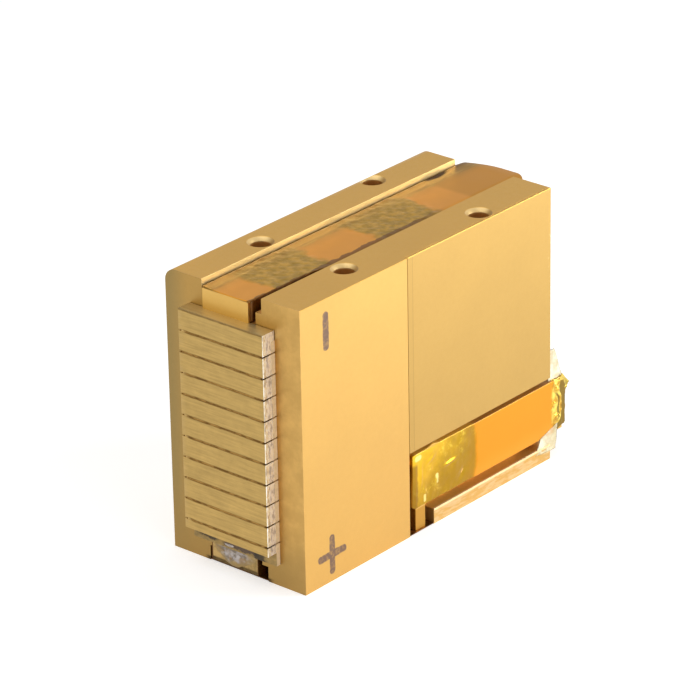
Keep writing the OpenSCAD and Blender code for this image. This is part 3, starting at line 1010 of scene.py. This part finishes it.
ribbon = grid_piece("top_tape_ribbon", top_tape_points(), top_tape)
thicken(ribbon, TAPE_THICK)
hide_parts("negative_strap_film")
sleeve = grid_piece(
    "top_tape_sleeve",
    sleeve_points(
        (strap_low[0] - GAP, strap_low[2] - GAP), (strap_high[0] + GAP, strap_high[2] + GAP * 0.3),
        0.12, FRONT + 0.02, strap_high[1] - 0.05,
    ),
    shade_tape, ring=True,
)
thicken(sleeve, TAPE_THICK)
upper_strap = grid_piece(
    "upper_strap_bar",
    sleeve_points(
        (strap_low[0], strap_low[2]), (strap_high[0], strap_high[2]),
        0.05, strap_low[1], strap_high[1] - 0.12, closed=True,
    ),
    strap_gold, ring=True, caps=True, smooth=False,
)
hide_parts("negative_strap")
print(f"top tape: {len(ribbon.data.polygons)} faces, {len(sleeve.data.polygons)} in its sleeve")

# %% [markdown]
# ## Tape on the side
#
# The tape round the lower strap's side plate is the brightest thing on the object. It is loose near the
# front, with dents that catch the light, taut in the middle, and crumpled where its end was pinched
# together. A bump map could fake the dents, but the outline would stay straight. So it is one closed
# skin: a rounded frame carried along the plate, pushed in and out by waves.

# %% Tape on the side plate
# Of each ridge: its middle's y and z, its turn, its half length, its width and its height
RIDGES = (
    (22.2, 5.78, 0.12, 0.85, 0.17, 0.11),
    (20.2, 4.7, 1.45, 0.45, 0.16, 0.09),
    (19.2, 7.2, 0.5, 0.7, 0.22, 0.08),
    (17.7, 6.0, 1.5, 1.2, 0.2, 0.07),
    (24.1, 3.9, 0.9, 0.6, 0.3, -0.06),
    (18.4, 3.9, 2.2, 0.6, 0.22, 0.07),
)


def ridge_heights(y, z):
    """Bumps and a dent on the loose stretch: Gaussians of the distances along and across each ridge."""
    total = 0
    for middle_y, middle_z, turn, half_length, width, height in RIDGES:
        a = (y - middle_y) * np.cos(turn) + (z - middle_z) * np.sin(turn)
        b = (z - middle_z) * np.cos(turn) - (y - middle_y) * np.sin(turn)
        total = total + height * np.exp(-((a / half_length) ** 2) - (b / width) ** 2)
    return total


def side_tape_points():
    """The skin round the side plate.

    Each row is a rounded frame. It shrinks to round off both ends, its outer face is dented by waves
    where it is loose, and creased waves crumple the last two millimetres.
    """
    ring = rounded_frame(
        (plate_low[0] + 0.02, plate_low[2] + 0.02), (plate_high[0], plate_high[2]), 0.10, (10, 120, 10, 24)
    )
    start, nose_length, pinch, end = 16.62, 0.3, 38.2, 40.8
    length = np.concatenate([
        start + nose_length * (1 - np.cos(np.linspace(0, np.pi / 2, 8, endpoint=False))),
        np.linspace(start + nose_length, pinch, 240, endpoint=False),
        np.linspace(pinch, end, 90),
    ])[:, None]
    x, z = ring[None, :, 0] + 0 * length, ring[None, :, 1] + 0 * length
    middle_x, middle_z = (plate_low[[0, 2]] + plate_high[[0, 2]]) / 2
    y = length + 0 * x
    outer = smooth_step(x, plate_high[0] - 0.5, plate_high[0] - 0.02)
    loose = smooth_step(y, 16.7, 18) * smooth_step(y, 27.0, 25.6)
    dents = 0.045 * waves(y, z, 21, longest=6, shortest=1.2, count=22)
    dents = dents + 0.04 * waves(y, z, 23, longest=3.5, shortest=0.7, count=22, sharp=True)
    step = 0.045 * smooth_step(y + BORDER_BOW * (z - BORDER_HEIGHT) ** 2, 26.1, 26.7)
    crumpled = smooth_step(y, 38.5, 39.0) * smooth_step(y, 40.5, 39.7)
    creases = waves(y * 1.5, z, 27, longest=2.8, shortest=0.5, count=22, sharp=True)
    crumple = crumpled * np.clip(0.10 + 0.34 * creases, 0, 0.42)
    bulge = 0.22 * np.exp(-((y - 19.6) / 0.7) ** 2) * smooth_step(z, 8.0, 8.5)
    x = x + outer * (loose * (dents + ridge_heights(y, z)) + step + crumple)
    y = y + smooth_step(y, 39.6, 40.8) * 0.15 * waves(z, 0, 29, longest=2.6, shortest=0.7)
    z = z + bulge + crumpled * outer * 0.10 * waves(y, z, 33, longest=1.5, shortest=0.6)
    z = middle_z + (z - middle_z) * (1 - 0.16 * smooth_step(y, 38.6, 40.6) ** 2)
    nose = 1 - smooth_step(y, 16.9, 16.6) * 0.12
    x = middle_x + (x - middle_x) * nose
    z = middle_z + (z - middle_z) * (1 - (1 - nose) * 0.25)
    return np.stack([x, y + FRONT, z], axis=-1)


side_sleeve = grid_piece(
    "side_tape_sleeve", side_tape_points(), side_tape, ring=True, caps=True
)
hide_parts("positive_strap_film")
print(f"side tape: {len(side_sleeve.data.polygons)} faces")

# %% [markdown]
# ## Pinched end of the side tape
#
# Behind the crumpled end, two layers of tape stick together as a stiff olive tail, and one corner is
# folded over above it. They could be part of the skin, but a skin that folds back over itself cuts
# through itself. So each is a sheet of its own between four corners, rippled a little.

# %% Tail and fold
def flap_points(corners, rows, columns, ripple, seed):
    """A sheet between four corners, in order round it, that ripples along x.

    Its place is a weighted mean of the corners. The waves fade towards the first row, between the first
    two corners, where the sheet is stuck down. Each corner's y is counted from the block's front.
    """
    first, second, third, fourth = (np.array(corner) + (0, FRONT, 0) for corner in corners)
    u, v = np.meshgrid(np.linspace(0, 1, rows), np.linspace(0, 1, columns), indexing="ij")
    u3, v3 = u[..., None], v[..., None]
    sheet = (first * (1 - v3) + second * v3) * (1 - u3) + (fourth * (1 - v3) + third * v3) * u3
    wave = waves(u * 3, v * 4, seed, longest=4, shortest=1.0, sharp=True)
    sheet[..., 0] += wave * ripple * smooth_step(u, -0.2, 0.8)
    return sheet


tail_corners = (7.7, 40.2, 2.65), (7.7, 40.3, 7.2), (8.1, 41.4, 6.85), (8.1, 41.35, 2.95)
tail = grid_piece(
    "side_tape_tail", flap_points(tail_corners, 40, 40, 0.10, 31), olive_tape
)
thicken(tail, 0.4)
fold_corners = (8.42, 39.0, 7.35), (8.36, 40.5, 8.75), (8.40, 41.55, 7.55), (8.5, 40.9, 6.75)
fold = grid_piece(
    "side_tape_fold", flap_points(fold_corners, 24, 24, 0.08, 37), fold_tape
)
thicken(fold, 0.10)
print(f"pinched end: {len(tail.data.polygons)} faces in the tail, {len(fold.data.polygons)} in the fold")

# %% [markdown]
# ## Loose film
#
# Two scraps of clear film stick out at the back, one up along the block's edge and one down over its
# lip. A glass shader could bend the light, but film this thin hardly does. It is seen mostly by its
# shine and its rim, so it is partly transparent with a warm tint, and darker along its rim.

# %% Clear scraps
def clear_film_finish():
    """Thin clear film with a faint cream tint, denser where it is wrinkled."""
    film = Finish("clear_film")
    wrinkles = film.noise(0.9, detail=4)
    cream = film.blend(wrinkles.fade(0.4, 0.65), srgb(228, 214, 168), srgb(246, 238, 212))
    rim = film.node("ShaderNodeAttribute", {"attribute_name": "rim"}, take="Fac")
    edge = rim.fade(0.0, 0.8) * (film.noise(1.4).fade(0.35, 0.6) * 0.7 + 0.3)
    return film.shade(
        Base_Color=film.blend(edge, cream, srgb(70, 58, 40)),
        Alpha=(wrinkles.fade(0.3, 0.7) * 0.3 + 0.62).highest(edge),
        Roughness=0.3, Coat_Weight=0.2, Coat_Roughness=0.2,
        Normal=film.bump(wrinkles, 0.08),
    )


clear_film = clear_film_finish()
upper_corners = (8.2, 38.32, 8.5), (8.2, 38.32, 12.0), (8.2, 39.4, 11.9), (8.2, 40.85, 8.4)
lower_corners = (8.46, 36.7, 2.75), (8.44, 39.6, 3.6), (8.6, 39.1, 0.9), (8.6, 35.9, 1.1)
for name, corners, ripple, seed in (
    ("clear_scrap_upper", upper_corners, 0.14, 41),
    ("clear_scrap_lower", lower_corners, 0.10, 43),
):
    scrap = grid_piece(name, flap_points(corners, 36, 36, ripple, seed), clear_film)
    thicken(scrap, 0.04)
print("two clear scraps")

# %% [markdown]
# ## Solder
#
# The lower strap is soldered to the stack by hand. The joint is a grey smear, lumpy, brighter where it
# was wiped, and thickest just under the stack. Metaballs could give such a lump, but their outline is
# hard to steer. So it is a blanket over the strap's end, thick in the middle and thin at an uneven rim.

# %% Solder joint
def solder_finish():
    """Dull tin solder, pitted and smeared, with brown flux in its hollows."""
    tin = Finish("tin_solder")
    clumps = tin.noise(1.3, detail=6, rough=0.65)
    colour = tin.blend(clumps.fade(0.42, 0.60), srgb(132, 120, 104), srgb(192, 184, 180))
    flux = tin.noise(0.8, detail=4).fade(0.52, 0.66)
    colour = tin.blend(flux * 0.7, colour, srgb(150, 116, 62))
    across, up = tin.x + 0.5, tin.z - 1.9
    rim = (across * across * 0.16 + up * up * 0.50).root() + tin.wander(1.1, 0.7, detail=4)
    colour = tin.blend(rim.fade(0.60, 1.0) * 0.9, colour, srgb(172, 145, 92))
    # Painted shadow along the solder's upper left edge, under the stack.
    top_edge = (tin.z + tin.wander(1.6, 0.7, detail=4)).fade(2.62, 2.80) * tin.x.fade(-1.4, -1.0)
    colour = tin.blend(top_edge * 0.8, colour, srgb(84, 66, 66))
    return tin.shade(
        Base_Color=colour, Metallic=0.75, Roughness=clumps * 0.3 + 0.28,
        Normal=tin.bump(clumps, 0.06),
    )


def solder_points():
    """A closed lump: a circle in x and z, pulled out along y into a dome, with waves on its rim.

    Rows run from the back's middle over the rim to the front's middle, so the two end rows are small
    rings that caps close.
    """
    low, high = box_mm("solder_joint")
    turn = np.linspace(0, 2 * np.pi, 96, endpoint=False)[None, :]
    rise = np.linspace(0.04, 0.97, 40)[:, None]
    spread = np.sin(rise * np.pi) ** 0.6
    uneven = 1 + 0.20 * waves(np.cos(turn) * 2, np.sin(turn) * 2, 51, longest=3, shortest=0.5, count=20)
    middle = (low + high) / 2
    x = middle[0] + spread * uneven * np.cos(turn) * (high[0] - low[0]) * 0.70
    z = middle[2] - 0.45 + spread * uneven * np.sin(turn) * (high[2] - low[2]) * 0.48
    lumps = 0.06 * waves(x, z, 53, longest=2.4, shortest=0.5) * spread + 0.03 * np.sin(6 * (z + 0.35 * x))
    back_y, front_y = FRONT + 0.12, FRONT - 0.12 - 0.50 * smooth_step(z, 1.6, 3.0)
    y = back_y + (front_y - back_y) * smooth_step(rise, 0.25, 0.9) - lumps * smooth_step(rise, 0.4, 0.7)
    return np.stack([x, y, z], axis=-1)


smear = grid_piece("solder_smear", solder_points(), solder_finish(), ring=True, caps=True)
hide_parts("solder_joint")
print(f"solder: {len(smear.data.polygons)} faces")

# %% [markdown]
# ## Soft edges
#
# A milled and plated edge is never a knife edge: it is broken by about a tenth of a millimetre, and that
# narrow face catches the light. It could be cut into the CAD solids, but then they would no longer be
# plain to measure. The CAD meshes are loose triangles, so they are welded, joined into flat faces and
# then bevelled, all by modifiers, which leaves the CAD mesh itself as it is.

# %% Break the edges
def break_edges(node, width_mm):
    """Welds a CAD node's triangles into flat faces and rounds every edge sharper than 40 degrees."""
    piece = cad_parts[node]
    weld = piece.modifiers.new("weld", "WELD")
    weld.merge_threshold = 1e-6
    flatten = piece.modifiers.new("flat_faces", "DECIMATE")
    flatten.decimate_type = "DISSOLVE"
    flatten.angle_limit = math.radians(1)
    bevel = piece.modifiers.new("edge_break", "BEVEL")
    bevel.width = width_mm * MM
    bevel.segments = 2
    bevel.limit_method = "ANGLE"
    bevel.angle_limit = math.radians(40)


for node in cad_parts:
    if node.endswith(("_seal", "_film", "_joint")) or node.startswith("laser_bar"):
        continue
    break_edges(node, 0.12 if node == "cooler_body" else 0.04)
print("edges broken")
